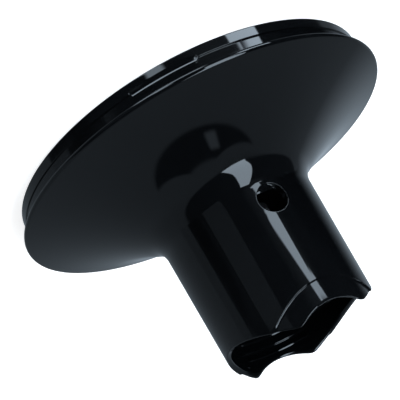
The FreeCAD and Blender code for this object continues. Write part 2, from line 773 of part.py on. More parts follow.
def drive_insert():
    """Steel insert whose hexagon takes the blade shaft."""
    low, high = DRIVE_INSERT_Z
    body = with_flats(cylinder(DRIVE_INSERT_R, low, high), DRIVE_INSERT_FLAT)
    lead_in = Part.makeCone(HEX_FLATS / 2 + 1.2, HEX_FLATS / 2, 1.2, FreeCAD.Vector(0, 0, low))
    return body.cut([hex_prism(HEX_FLATS, low, high - 1.0), lead_in])


def open_clip(groove_r, outer_r, low, high):
    """A retaining ring with a gap on the +X side."""
    gap = Part.makeBox(outer_r + 1, groove_r, high - low,
                       FreeCAD.Vector(0, -groove_r / 2, low))
    return ring(groove_r, outer_r, low, high).cut(gap)


def carrier_clip():
    low, high = CARRIER_CLIP_Z
    return open_clip(CARRIER_CLIP_GROOVE_R, 10.0, low + 0.05, high - 0.05)


# --- input shaft and coupling ---------------------------------------------------------------

CLIP_GROOVE_R = 3.3


def input_shaft():
    return revolve([
        (0, 11.4),
        (PILOT_R - 0.3, 11.4),
        (PILOT_R, 11.7),
        (PILOT_R, GEAR_Z[0]),
        (SUN_SHAFT_R, GEAR_Z[0]),
        (SUN_SHAFT_R, GEAR_Z[1]),
        (SHAFT_R, GEAR_Z[1]),
        (SHAFT_R, CLIP_Z),
        (CLIP_GROOVE_R, CLIP_Z),
        (CLIP_GROOVE_R, CLIP_Z + 0.9),
        (SHAFT_R, CLIP_Z + 0.9),
        (SHAFT_R, SHAFT_TOP - 0.5),
        (SHAFT_R - 0.5, SHAFT_TOP),
        (0, SHAFT_TOP),
    ])


def input_coupling():
    """Star-shaped dog on a flange, with a skirt that covers the seal boss."""
    low, high = COUPLING_Z
    skirt_in = SEAL_BOSS_R + 0.6
    hub_r = 7.2
    well_r = 5.6
    body = revolve([
        (SHAFT_R, low),
        (skirt_in, low),
        (skirt_in, FLOOR_TOP + 2.2),
        (COUPLING_SKIRT_R - 0.5, FLOOR_TOP + 2.2),
        (COUPLING_SKIRT_R, FLOOR_TOP + 2.7),
        (COUPLING_SKIRT_R, low - 0.8),
        (COUPLING_SKIRT_R - 0.6, low - 0.4),
        (COUPLING_SKIRT_R - 0.6, low + 0.6),
        (COUPLING_SKIRT_R, low + 1.0),
        (COUPLING_SKIRT_R, low + 1.6),
        (COUPLING_SKIRT_R - 0.8, low + 2.4),
        (hub_r, low + 2.4),
        (hub_r, high - 1.0),
        (hub_r - 1.0, high),
        (well_r, high),
        (well_r, CLIP_Z),
        (SHAFT_R, CLIP_Z),
    ])
    lobes = []
    for angle in angles(8):
        lobe = cylinder(1.3, low + 2, high - 1.6, *polar(hub_r + 0.2, angle))
        cap = Part.makeCone(1.3, 0.5, 1.2, FreeCAD.Vector(*polar(hub_r + 0.2, angle), high - 1.6))
        lobes += [lobe, cap]
    well = cylinder(well_r, CLIP_Z, high)
    return fuse(body, *lobes).cut(well)


def coupling_clip():
    return open_clip(CLIP_GROOVE_R, 5.2, CLIP_Z + 0.05, CLIP_Z + 0.85)


# --- export ---------------------------------------------------------------------------------

def build():
    nodes = {
        "lid_shell": lid_shell(),
        "bottom_cover": bottom_cover(),
        "cover_seal": cover_seal(),
        "cover_screws": cover_screws(),
        "output_seal": output_seal(),
        "gear_case": gear_case(),
        "case_mount_screws": case_mount_screws(),
        "gear_case_gasket": gear_case_gasket(),
        "gear_case_cover": gear_case_cover(),
        "gear_case_screws": gear_case_screws(),
        "ring_gear": ring_gear(),
        "output_bush": output_bush(),
        "input_bush": input_bush(),
        "lower_thrust_washer": lower_thrust_washer(),
        "upper_thrust_washer": upper_thrust_washer(),
        "input_seal": input_seal(),
        "seal_washer": seal_washer(),
        "sun_gear": sun_gear(),
        "input_shaft": input_shaft(),
        "input_coupling": input_coupling(),
        "coupling_clip": coupling_clip(),
        "planet_carrier": planet_carrier(),
        "carrier_plate": carrier_plate(),
        "carrier_screws": carrier_screws(),
        "planet_pins": planet_pins(),
        "drive_insert": drive_insert(),
        "carrier_clip": carrier_clip(),
    }
    for index, angle in enumerate(PLANET_ANGLES, start=1):
        nodes[f"planet_gear_{index}"] = planet_gear(angle)
        nodes[f"planet_bush_{index}"] = planet_bush(angle)
    return nodes


os.makedirs("parts", exist_ok=True)
for name, shape in build().items():
    box = shape.BoundBox
    print(f"{name:22s} valid {shape.isValid()} solids {len(shape.Solids)} "
          f"volume {shape.Volume:9.1f} z {box.ZMin:6.2f} to {box.ZMax:6.2f} r {box.XMax:6.2f}")
    shape.exportStep(f"parts/{name}.step")
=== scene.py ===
import json
import math

import bpy
import numpy as np
from mathutils import Matrix, Vector

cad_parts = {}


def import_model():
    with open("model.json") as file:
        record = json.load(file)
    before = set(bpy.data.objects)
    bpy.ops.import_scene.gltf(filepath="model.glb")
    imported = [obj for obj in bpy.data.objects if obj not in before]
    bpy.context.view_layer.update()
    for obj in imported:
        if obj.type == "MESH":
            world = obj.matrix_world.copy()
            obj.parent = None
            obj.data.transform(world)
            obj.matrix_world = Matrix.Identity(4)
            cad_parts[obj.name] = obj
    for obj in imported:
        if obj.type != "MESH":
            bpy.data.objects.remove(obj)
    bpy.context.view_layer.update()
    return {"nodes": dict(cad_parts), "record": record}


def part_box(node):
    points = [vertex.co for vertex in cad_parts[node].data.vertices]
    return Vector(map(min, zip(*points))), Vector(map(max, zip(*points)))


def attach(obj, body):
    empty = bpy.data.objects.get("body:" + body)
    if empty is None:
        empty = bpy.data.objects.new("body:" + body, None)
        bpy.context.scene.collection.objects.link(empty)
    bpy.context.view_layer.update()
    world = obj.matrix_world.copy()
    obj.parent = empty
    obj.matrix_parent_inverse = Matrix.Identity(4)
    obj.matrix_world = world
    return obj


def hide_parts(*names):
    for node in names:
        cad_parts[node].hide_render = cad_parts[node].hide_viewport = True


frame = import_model()

# Geared chopper lid for a hand blender: a glossy black flared lid with a tall neck.
# Lengths inside the shell's own functions are millimetres, as on a drawing; MM turns them into
# the frame's metres. Z runs up the neck, and X runs through the two latch windows.

MM = 0.001

# --- sizes of the lid shell, in millimetres ---
FLANGE_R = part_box("lid_shell")[1].x / MM
SKIRT_R = 74.2
SKIRT_UPPER_R = 73.6
SKIRT_UPPER_LEAN = 0.19      # how much the upper band narrows on its way up to the flange
SKIRT_UPPER_CURVE = 0.1      # how much steeper the lean is at the band's foot
SKIRT_STEP_Z = 3.9
SKIRT_STEP_HEIGHT = 0.4
STEP_GROOVE_HEIGHT = 0.9     # a shallow groove under a lug's step, which flares out up to its edge
STEP_GROOVE_DEPTH = 0.22
# The groove's profile: shares of its height, each with a share of its depth.
STEP_GROOVE_PROFILE = ((0.1, 0.5), (0.2, 0.95), (0.3, 1.0), (0.4, 0.9), (0.65, 0.52), (0.9, 0.14))
SKIRT_WALL = 2.4
EDGE_ROUND = 0.5
FLANGE_Z = 9.1               # underside of the flange
FLANGE_EDGE_Z = 10.3         # widest point of the flange
FLANGE_FILLET = 0.3
FLARE_POINTS = ((74.9, 11.8), (53.9, 19.95), (33.0, 31.7))
WALL = 2.4
NECK_BASE = (31.42, 35.6)
NECK_DRAFT = math.radians(1.6)
NECK_FILLET = 10.0
SOCKET_R = 27.5
SOCKET_RELIEF_R = 27.8
LAND_Z = (54.6, 77.0)
FLOOR_TOP = 34.4
CAVITY_R = 29.5
FLOOR_FILLET = 1.0
SEAL_BOSS_R = 10.0
SEAL_BOSS_TOP = 40.0
SEAL_BOSS_FILLET = 0.6
SEAL_BOSS_ROUND = 0.35
SEAL_SEAT_R = 7.5
SEAL_SEAT_ROUND = 0.3
SHAFT_HOLE_R = 5.0
NOTCH_R = 21.5
NOTCH_AXIS_Z = 108.0
SCALLOP_R = 44.0
SCALLOP_AXIS_Z = 126.5
PEAK_BLEND = 2.0
FINGER_BAND = 8.2
FINGER_DEPTH = 0.7
FINGER_EDGE = 0.32           # width of the step along the finger band's edge
WINDOW_R = 5.85
WINDOW_Z = 44.4
WINDOW_EDGE = 0.2
WINDOW_EDGE_INSIDE = 0.25
WINDOW_LIP = 0.12            # plain strip between the round and the grid's own cells
SILL_DROPS = (4.6, 4.0)      # a window's low side has two sills, this far below its middle
SILL_LEDGES = (0.7, 0.3)     # how far in each sill's ledge goes
SILL_SLOPE = 0.75            # how far a sill's ramp goes in for its height
SILL_START = 0.2             # how far behind the window's rounded edge the first ramp begins
RIM_ROUND = 0.42
RIM_ROUND_INSIDE = 0.75
GROOVE_Z = (80.6, 83.2)
GROOVE_DEPTH = 0.6
GROOVE_LIP = 0.2             # half height of the slopes into and out of the groove
GROOVE_BEAD = 0.4            # a small bead over the groove, as a share of the groove's depth
GROOVE_BEAD_RISE = 2.4       # the bead's upper slope is this many lips above the groove
GROOVE_HALF_ANGLE = 30.0
GROOVE_END = 1.5             # degrees over which the groove's ends rise
LUG_COUNT = 4
LUG_FIRST_ANGLE = 26.3
LUG_SPAN = 19.6
LUG_ENDS = (1.4, 0.5)        # degrees over which a lug's first and last end rise
LUG_RISE = 1.3
# Bosses: their number, first angle, orbit, radius, lower end and the depth of their pilot holes.
BOSSES = ((4, 45, 36.5, 4.0, 20.0, 5.0), (6, 0, 61.0, 3.6, 4.4, 7.0))
PILOT_R = 1.5
RIB_COUNT = 6
RIB_FIRST_ANGLE = 30
RIB_X = (44.0, 70.0)
RIB_HALF_WIDTH = 0.8
RIB_BOTTOM = 8.5
BURIED = 0.6                 # how far the bosses and ribs run into the lid's wall

# --- how finely the shell is meshed ---
SECTORS = 288
WINDOW_CELLS = 8             # grid cells from a window's centre line to its edge
WINDOW_BLOCK_Z = 5.4         # half height of the block of cells that a window replaces
WARP_REACH = 11.0            # how far the grid bends round a window, outside
WARP_REACH_INSIDE = 7.4
CREASE = 0.1                 # a row this near a corner keeps the flat beside it flat
CREASE_WIDE = 0.15           # the same where there is more room
CREASE_SILL = 0.06           # the same on a window's sills
LUG_LINE_GAP = 0.3           # degrees between the grid's lines at a lug's end
PLAIN_TOP = 66.0             # the neck's rows are level up to here, and follow its end above
NECK_END_GUESS = 85.0        # the height from which the neck's end is worked out in four passes
BAND_ROWS_REACH = 0.34       # half height of the close rows along the finger band's edge
BAND_ROWS_DROP = 1.4         # how far below the neck's end these rows stay
BAND_ROWS_BLEND = 1.6
GROOVE_ROOM = 0.6            # the least height from the groove's rows up to the neck's end
SOCKET_ROWS = (79.2, 78.0)   # level rows between the snap groove and the land
LAND_ROWS = (70.0, 60.0)     # level rows on the land
FLOOR_ROWS = (26.5, 18.0)    # radii of the plain rows on the socket's floor
FLARE_FIRST_ROW = 0.15       # an extra row beside the flange's edge, as a share of the first step

# --- camera: places in metres, lens and sensor in millimetres ---
CAMERA_AZIMUTH = math.radians(28.3)
CAMERA_PLACE = Vector((4.8092, 0.0, 2.0364)) * FLANGE_R * MM      # before its turn to the azimuth
CAMERA_AIM = Vector((0, 0, 0.35)) * FLANGE_R * MM
CAMERA_TURNS = tuple(math.radians(a) for a in (-1.3145, 0.764, 149.948))     # yaw, pitch, roll
CAMERA_LENS = 91.18
CAMERA_SENSOR = 36.0

# --- studio: lengths in metres, angles in degrees ---
FLOOR_REACH = 6.0
FLOOR_GREY = 0.8
FLOOR_GLOW = 0.82
SKY_STRENGTH = 0.9
SKY_WIDTH = 70
SKY_TILT = (12, -8)
# To the lid, the studio is dark in front and pale behind, with flat panels far away. FLAGS are
# dark panels and PANELS are bright ones. A panel is the azimuth and elevation of its middle, its
# roll, how far it reaches left, right, down and up as shares of its distance, the softness of its
# edge, how fast it widens upwards, and how much it takes away or its brightness.
FRONT_LEVEL = 0.025
BACK_LEVEL = 0.19
FRONT_BLEND = 0.06           # half width of the change from front to back
TINT = (0.83, 1.0, 1.16)
FLAGS = (
    (92, -16, 10, -0.29, 0.31, -0.27, 0.12, 0.04, 0, 0.9),
    (-79, -14, -7, -0.53, 0.52, -0.19, 0.07, 0.10, 0, 0.93),
    (51.4, 84.2, 158.5, -0.252, 0.30, -0.437, -0.259, 0.03, -6.3, 0.9),
)
PANELS = (
    (138, 0, 13, -0.98, 0.85, -0.38, 0.10, 0.10, 0, 0.15),
    (-125, -2, 3, -0.75, 0.42, -0.7, 0.5, 0.75, 0, 0.42),
    (-4, 6.7, 13.8, -0.514, 0.59, -0.14, 7.12, 0.04, 0.217, 5.0),
    (-16, -15, 29, -0.12, 0.085, -0.055, 0.12, 0.02, -7.0, 5.0),
    (54, -11.5, -13, -0.30, 0.24, -0.16, 0.10, 0.05, 0, 0.13),
    (-8, -14, 22, -0.32, 0.15, -0.5, 0.44, 0.36, 0, 0.12),
    (22, -30, 6, 0.0, 0.17, -0.48, 0.11, 0.05, 0, 3.2),
    (-24, -32, -11, -0.25, 0.05, -0.2, 0.162, 0.02, 0, 7.0),
    (-139, 75.3, -16, 0.015, 0.078, -0.027, 0.054, 0.03, 0, 0.35),
    (23, -65, 0, -0.27, 0.25, -0.22, 0.20, 0.08, 0, 4.5),
    (-21.5, -9.8, 0, -0.075, 0.07, -0.015, 0.015, 0.012, 25.0, 5.0),
)
PANEL_FADE = (0.02, 0.04)    # a panel fades out where it would be seen edge on
PANEL_NARROWEST = 0.05       # how narrow a widening panel may get, as a share of its middle


# ------------------------------------------------------------------------------ mesh helpers

def smooth_step(value):
    t = np.clip(value, 0.0, 1.0)
    return t * t * (3 - 2 * t)


def make_piece(name, points, faces, body, slot):
    """A smooth-shaded piece from points in millimetres, in the finish of its slot."""
    mesh = bpy.data.meshes.new(name)
    mesh.from_pydata([tuple(p) for p in np.asarray(points) * MM], [], faces)
    mesh.validate()
    mesh.materials.append(MATERIALS[slot])
    mesh.polygons.foreach_set("use_smooth", [True] * len(mesh.polygons))
    piece = bpy.data.objects.new(name, mesh)
    bpy.context.scene.collection.objects.link(piece)
    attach(piece, body)
    return piece


def arc(centre, radius, first, last, steps):
    """Points of an arc between two angles in radians, ends included."""
    turns = np.linspace(first, last, steps + 1)
    return [(centre[0] + radius * math.cos(t), centre[1] + radius * math.sin(t)) for t in turns]


def circle_through(a, b, c):
    """Centre and radius of the circle through three points."""
    rows = np.array([[b[0] - a[0], b[1] - a[1]], [c[0] - a[0], c[1] - a[1]]]) * 2
    sums = np.array([b[0] ** 2 + b[1] ** 2 - a[0] ** 2 - a[1] ** 2,
                     c[0] ** 2 + c[1] ** 2 - a[0] ** 2 - a[1] ** 2])
    centre = np.linalg.solve(rows, sums)
    return centre, math.hypot(a[0] - centre[0], a[1] - centre[1])


def soft_minimum(first, second, blend):
    """The lower of two heights, rounded where they cross."""
    overlap = np.clip(blend - np.abs(first - second), 0, None)
    return np.minimum(first, second) - overlap ** 2 / (4 * blend)


# ---------------------------------------------------------------------- the shell's own lines

FLARE_CENTRE, FLARE_R = circle_through(*FLARE_POINTS)


def flange_top_round():
    across = FLANGE_R - FLARE_CENTRE[0]
    rise = FLANGE_EDGE_Z - FLARE_CENTRE[1]
    radius = (across ** 2 + rise ** 2 - FLARE_R ** 2) / (2 * (FLARE_R + across))
    return np.array([FLANGE_R - radius, FLANGE_EDGE_Z]), radius


def neck_fillet():
    """Centre of the fillet, and where it meets the flare and the neck."""
    up = np.array([-math.sin(NECK_DRAFT), math.cos(NECK_DRAFT)])
    out = np.array([math.cos(NECK_DRAFT), math.sin(NECK_DRAFT)])
    start = np.array(NECK_BASE) + out * NECK_FILLET - FLARE_CENTRE
    along = start @ up
    reach = FLARE_R - NECK_FILLET
    centre = FLARE_CENTRE + start + up * (-along - math.sqrt(along ** 2 - start @ start + reach ** 2))
    on_flare = FLARE_CENTRE + (centre - FLARE_CENTRE) * FLARE_R / reach
    return centre, on_flare, centre - out * NECK_FILLET


FILLET_CENTRE, FILLET_LOW, FILLET_HIGH = neck_fillet()


def outer_radius(z):
    """Radius of the flare, fillet and neck at height z."""
    z = np.asarray(z, float)
    neck = NECK_BASE[0] - (z - NECK_BASE[1]) * math.tan(NECK_DRAFT)
    drop = np.clip(z - FILLET_CENTRE[1], -NECK_FILLET, NECK_FILLET)
    fillet = FILLET_CENTRE[0] - np.sqrt(NECK_FILLET ** 2 - drop ** 2)
    sag = np.clip(FLARE_CENTRE[1] - z, 0, FLARE_R)
    flare = FLARE_CENTRE[0] - np.sqrt(FLARE_R ** 2 - sag ** 2)
    return np.where(z > FILLET_HIGH[1], neck, np.where(z > FILLET_LOW[1], fillet, flare))


def flare_height(radius, offset=0.0):
    reach = radius - FLARE_CENTRE[0]
    return FLARE_CENTRE[1] - np.sqrt((FLARE_R + offset) ** 2 - reach ** 2)


def rim_height(x, y):
    """Height of the wavy end of the neck over a point, its peaks rounded."""
    notch = NOTCH_AXIS_Z - np.sqrt(np.clip(NOTCH_R ** 2 - y ** 2, 0, None))
    scallop = SCALLOP_AXIS_Z - np.sqrt(np.clip(SCALLOP_R ** 2 - x ** 2, 0, None))
    return soft_minimum(notch, scallop, PEAK_BLEND)


def finger_depth(y, z):
    """How deep the finger band cuts the neck at a point, with a crisp rounded step."""
    inside = NOTCH_R + FINGER_BAND - np.hypot(y, z - NOTCH_AXIS_Z)
    return FINGER_DEPTH * smooth_step(inside / FINGER_EDGE + 0.5)


def lug_centres():
    return [LUG_FIRST_ANGLE + index * 360 / LUG_COUNT for index in range(LUG_COUNT)]


def lug_share(turns):
    """1 on a bayonet lug and 0 off it; the end towards the window is the gentler one."""
    share = np.zeros_like(turns)
    for centre in lug_centres():
        offset = (np.degrees(turns) - centre + 180) % 360 - 180
        leading = smooth_step((offset + LUG_SPAN / 2) / LUG_ENDS[0] + 0.5)
        trailing = smooth_step((LUG_SPAN / 2 - offset) / LUG_ENDS[1] + 0.5)
        share = np.maximum(share, leading * trailing)
    return share


def sector_turns():
    """Azimuths of the grid's lines, closer together at the ends of the lugs."""
    turns = set()
    for centre in lug_centres():
        for edge in (centre - LUG_SPAN / 2, centre + LUG_SPAN / 2):
            turns |= {round((edge + step * LUG_LINE_GAP) % 360, 4) for step in range(-2, 3)}
    close = set(turns)
    for index in range(SECTORS):
        turn = index * 360 / SECTORS
        if all(abs((turn - other + 180) % 360 - 180) > LUG_LINE_GAP for other in close):
            turns.add(turn)
    return np.radians(np.array(sorted(turns)))


# --------------------------------------------------------------------------- rows of the grid

def flat_row(radius, z, turns):
    """A row of grid points; radius and z may differ from line to line."""
    radius = np.broadcast_to(radius, turns.shape)
    z = np.broadcast_to(z, turns.shape)
    return np.stack([radius * np.cos(turns), radius * np.sin(turns), z], 1)


def skirt_rows(turns):
    """Skirt, from its lower edge over the lugs' step to the fillet under the flange."""
    rows = [flat_row(r, z, turns) for r, z in
            arc((SKIRT_R - EDGE_ROUND, EDGE_ROUND), EDGE_ROUND, -math.pi / 2, 0, 5)]
    lug = lug_share(turns)
    step_z = SKIRT_STEP_Z + LUG_RISE * lug
    groove_z = step_z - STEP_GROOVE_HEIGHT
    for share in (0.05, 0.5, 0.98):
        rows.append(flat_row(SKIRT_R, EDGE_ROUND + (groove_z - EDGE_ROUND) * share, turns))
    for share, depth in STEP_GROOVE_PROFILE:
        radius = SKIRT_R - STEP_GROOVE_DEPTH * depth * lug
        rows.append(flat_row(radius, groove_z + STEP_GROOVE_HEIGHT * share, turns))
    foot_r = SKIRT_UPPER_R + SKIRT_UPPER_LEAN / 2
    for share in np.linspace(0, 1, 7):
        radius = SKIRT_R - (SKIRT_R - foot_r) * smooth_step(share)
        rows.append(flat_row(radius, step_z + SKIRT_STEP_HEIGHT * share, turns))
    foot_z = step_z + SKIRT_STEP_HEIGHT
    height = FLANGE_Z - FLANGE_FILLET - foot_z
    for share in (0.04, 0.2, 0.4, 0.6, 0.8, 0.98):
        lean = SKIRT_UPPER_LEAN * share * (1 + SKIRT_UPPER_CURVE * (1 - share))
        rows.append(flat_row(foot_r - lean, foot_z + height * share, turns))
    return rows


def flange_rows(turns):
    """Flange, from the fillet under it round its edge to the start of the flare."""
    corner_r = SKIRT_UPPER_R - SKIRT_UPPER_LEAN / 2 + FLANGE_FILLET
    points = arc((corner_r, FLANGE_Z - FLANGE_FILLET), FLANGE_FILLET, math.pi, math.pi / 2, 3)
    low_round = FLANGE_EDGE_Z - FLANGE_Z
    low_centre = (FLANGE_R - low_round, FLANGE_EDGE_Z)
    points += [(corner_r + CREASE, FLANGE_Z), (low_centre[0] - CREASE, FLANGE_Z)]
    points += arc(low_centre, low_round, -math.pi / 2, 0, 8)
    top_centre, top_round = flange_top_round()
    lean = math.atan2(*(FLARE_CENTRE - top_centre)[::-1])
    points += arc(top_centre, top_round, 0, lean, 7)[1:]
    return [flat_row(r, z, turns) for r, z in points]


def flare_rows(turns):
    top_centre, top_round = flange_top_round()
    outward = (FLARE_CENTRE - top_centre) / np.linalg.norm(FLARE_CENTRE - top_centre)
    start = top_centre + outward * top_round - FLARE_CENTRE
    end = FILLET_LOW - FLARE_CENTRE
    first = math.atan2(start[1], start[0])
    last = math.atan2(end[1], end[0])
    turn = (last - first + math.pi) % (2 * math.pi) - math.pi
    points = arc(FLARE_CENTRE, FLARE_R, first, first + turn, 30)
    edge, inward = np.array(points[0]), np.array(points[1])
    points.insert(1, tuple(edge * (1 - FLARE_FIRST_ROW) + inward * FLARE_FIRST_ROW))
    return [flat_row(r, z, turns) for r, z in points[1:]]


def neck_heights(low, reach, high):
    """Heights of the rows that cross a window, symmetric about it."""
    block = np.linspace(-WINDOW_BLOCK_Z, WINDOW_BLOCK_Z, 2 * WINDOW_CELLS + 1)
    ease = np.linspace(0, 1, 9)[1:] ** 1.2
    above = WINDOW_BLOCK_Z + (reach - WINDOW_BLOCK_Z) * ease
    crossing = np.concatenate([-above[::-1], block, above]) + WINDOW_Z
    below = np.linspace(low, crossing[0], 6)[1:-1]
    beyond = np.linspace(crossing[-1], high, 9)[1:]
    return np.concatenate([below, crossing, beyond])


def neck_rows(turns):
    """Outside of the neck from the fillet to the edge of the wavy end."""
    rows = [flat_row(outer_radius(z), z, turns)
            for z in neck_heights(FILLET_LOW[1], WARP_REACH, PLAIN_TOP)]
    edge_r = np.full_like(turns, outer_radius(NECK_END_GUESS))
    for _ in range(4):
        edge = rim_height(edge_r * np.cos(turns), edge_r * np.sin(turns)) - RIM_ROUND
        edge_r = outer_radius(edge) - finger_depth(edge_r * np.sin(turns), edge)
    side_y = edge_r * np.sin(turns)
    band_r = NOTCH_R + FINGER_BAND
    arch = NOTCH_AXIS_Z - np.sqrt(np.clip(band_r ** 2 - side_y ** 2, 0, None))
    ceiling = edge - BAND_ROWS_DROP
    guide = soft_minimum(arch, ceiling, BAND_ROWS_BLEND)
    reach = BAND_ROWS_REACH
    for share in np.linspace(0, 1, 15)[1:]:
        rows.append(finger_row(PLAIN_TOP + (guide - reach - PLAIN_TOP) * share, turns))
    for share in np.linspace(-1, 1, 9)[1:]:
        rows.append(finger_row(guide + reach * share, turns))
    for share in (0.06, 0.2, 0.35, 0.5, 0.65, 0.8, 0.92, 1.0):
        rows.append(finger_row(guide + reach + (edge - guide - reach) * share, turns))
    return rows


def finger_row(z, turns):
    radius = outer_radius(z)
    return flat_row(radius - finger_depth(radius * np.sin(turns), z), z, turns)


def rim_rows(turns, last_outer):
    """Over the end of the neck: outer round, the cut face, inner round."""
    outer_r = np.hypot(last_outer[:, 0], last_outer[:, 1])
    rows = []

    def add(radius, drop):
        height = rim_height(radius * np.cos(turns), radius * np.sin(turns))
        rows.append(flat_row(radius, height - drop, turns))

    for turn in np.linspace(0, math.pi / 2, 6)[1:]:
        add(outer_r - RIM_ROUND * (1 - math.cos(turn)), RIM_ROUND * (1 - math.sin(turn)))
    inner_r = SOCKET_RELIEF_R + RIM_ROUND_INSIDE
    for share in (0.1, 0.9):
        add(outer_r - RIM_ROUND + (inner_r - outer_r + RIM_ROUND) * share, 0.0)
    for turn in np.linspace(math.pi / 2, 0, 5):
        add(np.full_like(turns, inner_r - RIM_ROUND_INSIDE * math.cos(turn)),
            RIM_ROUND_INSIDE * (1 - math.sin(turn)))
    return rows


def groove_share(turns):
    offset = np.minimum(np.abs((np.degrees(turns) + 90) % 180 - 90), 90)
    return smooth_step((GROOVE_HALF_ANGLE - offset) / GROOVE_END + 0.5)


def groove_levels():
    """Heights across the bead and the groove, downwards, each with its share of the depth."""
    lip = np.array([1.4, 1.0, 0.5, 0.0, -0.5, -1.0, -1.4])
    bead = GROOVE_Z[1] + GROOVE_BEAD_RISE * GROOVE_LIP
    levels = [(bead + t * GROOVE_LIP, -GROOVE_BEAD * smooth_step((1 - t) / 2)) for t in lip[:-1]]
    levels += [(GROOVE_Z[1] + t * GROOVE_LIP,
                (1 + GROOVE_BEAD) * smooth_step((1 - t) / 2) - GROOVE_BEAD) for t in lip[1:]]
    levels.append((sum(GROOVE_Z) / 2, 1.0))
    levels += [(GROOVE_Z[0] + t * GROOVE_LIP, smooth_step((1 + t) / 2)) for t in lip]
    return levels


def socket_rows(turns, last_rim):
    """Inside of the neck, from the end down to the corner of its floor."""
    relief = SOCKET_RELIEF_R
    start = last_rim[:, 2]
    top = GROOVE_Z[1] + 4 * GROOVE_LIP
    # The scallops dip below the groove's height, so the rows there are squeezed downwards.
    floor_line = np.minimum(start - GROOVE_ROOM, top)
    squeeze = (floor_line - LAND_Z[1]) / (top - LAND_Z[1])
    rows = [flat_row(relief, start + (floor_line - start) * share, turns)
            for share in (0.1, 0.55, 1.0)]
    for z, depth in groove_levels() + [(z, 0.0) for z in SOCKET_ROWS]:
        radius = relief + GROOVE_DEPTH * depth * groove_share(turns)
        rows.append(flat_row(radius, LAND_Z[1] + (z - LAND_Z[1]) * squeeze, turns))
    step = relief - SOCKET_R
    high, low = LAND_Z[1], LAND_Z[0]
    land = (high - step, high - step - CREASE_WIDE, *LAND_ROWS, low + step + CREASE_WIDE, low + step)
    rows += [flat_row(relief, z, turns) for z in (high + CREASE_WIDE, high)]
    rows += [flat_row(SOCKET_R, z, turns) for z in land]
    rows.append(flat_row(relief, low, turns))
    block = np.linspace(-WINDOW_BLOCK_Z, WINDOW_BLOCK_Z, 2 * WINDOW_CELLS + 1)
    above = WINDOW_BLOCK_Z + (WARP_REACH_INSIDE - WINDOW_BLOCK_Z) * np.linspace(0, 1, 5)[1:]
    for z in np.concatenate([-above[::-1], block, above])[::-1] + WINDOW_Z:
        rows.append(flat_row(relief, z, turns))
    rows += [flat_row(r, z, turns) for r, z in
             arc((relief - FLOOR_FILLET, FLOOR_TOP + FLOOR_FILLET), FLOOR_FILLET, 0, -math.pi / 2, 4)]
    return rows


def floor_rows(turns):
    """Socket floor, seal boss, shaft hole, the hollow under the flare and the skirt's inside."""
    boss, seat, hole = SEAL_BOSS_R, SEAL_SEAT_R, SHAFT_HOLE_R
    floor_z, top = FLOOR_TOP, SEAL_BOSS_TOP
    foot, edge, lip = SEAL_BOSS_FILLET, SEAL_BOSS_ROUND, SEAL_SEAT_ROUND
    under = flare_height(CAVITY_R, WALL)
    points = [(r, floor_z) for r in (*FLOOR_ROWS, boss + foot + CREASE_WIDE)]
    points += arc((boss + foot, floor_z + foot), foot, -math.pi / 2, -math.pi, 3)
    points += [(boss, floor_z + foot + CREASE_WIDE), (boss, top - edge - CREASE_WIDE)]
    points += arc((boss - edge, top - edge), edge, 0, math.pi / 2, 3)
    points += [(boss - edge - CREASE_WIDE, top), (seat + lip + CREASE, top)]
    points += arc((seat + lip, top - lip), lip, math.pi / 2, math.pi, 3)
    points += [(seat, top - lip - CREASE_WIDE), (seat, floor_z + CREASE), (seat, floor_z),
               (seat - CREASE, floor_z), (hole + CREASE, floor_z), (hole, floor_z),
               (hole, floor_z - CREASE), (hole, under + CREASE), (hole, under),
               (hole + CREASE, under), (FLOOR_ROWS[1], under), (CAVITY_R - CREASE, under)]
    inner_r = SKIRT_R - SKIRT_WALL
    for radius in np.linspace(CAVITY_R, inner_r, 24):
        points.append((radius, flare_height(radius, WALL)))
    ceiling = flare_height(inner_r, WALL)
    points += [(inner_r, ceiling - CREASE_WIDE), (inner_r, ceiling / 2),
               (inner_r, EDGE_ROUND + CREASE)]
    points += arc((inner_r + EDGE_ROUND, EDGE_ROUND), EDGE_ROUND, math.pi, 1.5 * math.pi, 4)
    points += [(inner_r + EDGE_ROUND + CREASE, 0.0), (SKIRT_R - EDGE_ROUND - CREASE, 0.0)]
    return [flat_row(r, z, turns) for r, z in points]


# ------------------------------------------------------------------------------ latch windows

def circle_direction(s, t):
    """Direction on a circle for each point round a square, spaced evenly round both."""
    wide = np.abs(s) >= np.abs(t)
    safe_s = np.where(wide & (s != 0), s, 1.0)
    safe_t = np.where(wide, 1.0, t)
    side = np.where(s >= 0, 0.0, math.pi) + math.pi / 4 * np.where(wide, t, 0) / safe_s
    top = np.where(t >= 0, 0.5, -0.5) * math.pi - math.pi / 4 * np.where(wide, 0, s) / safe_t
    turn = np.where(wide, side, top)
    return np.cos(turn), np.sin(turn)


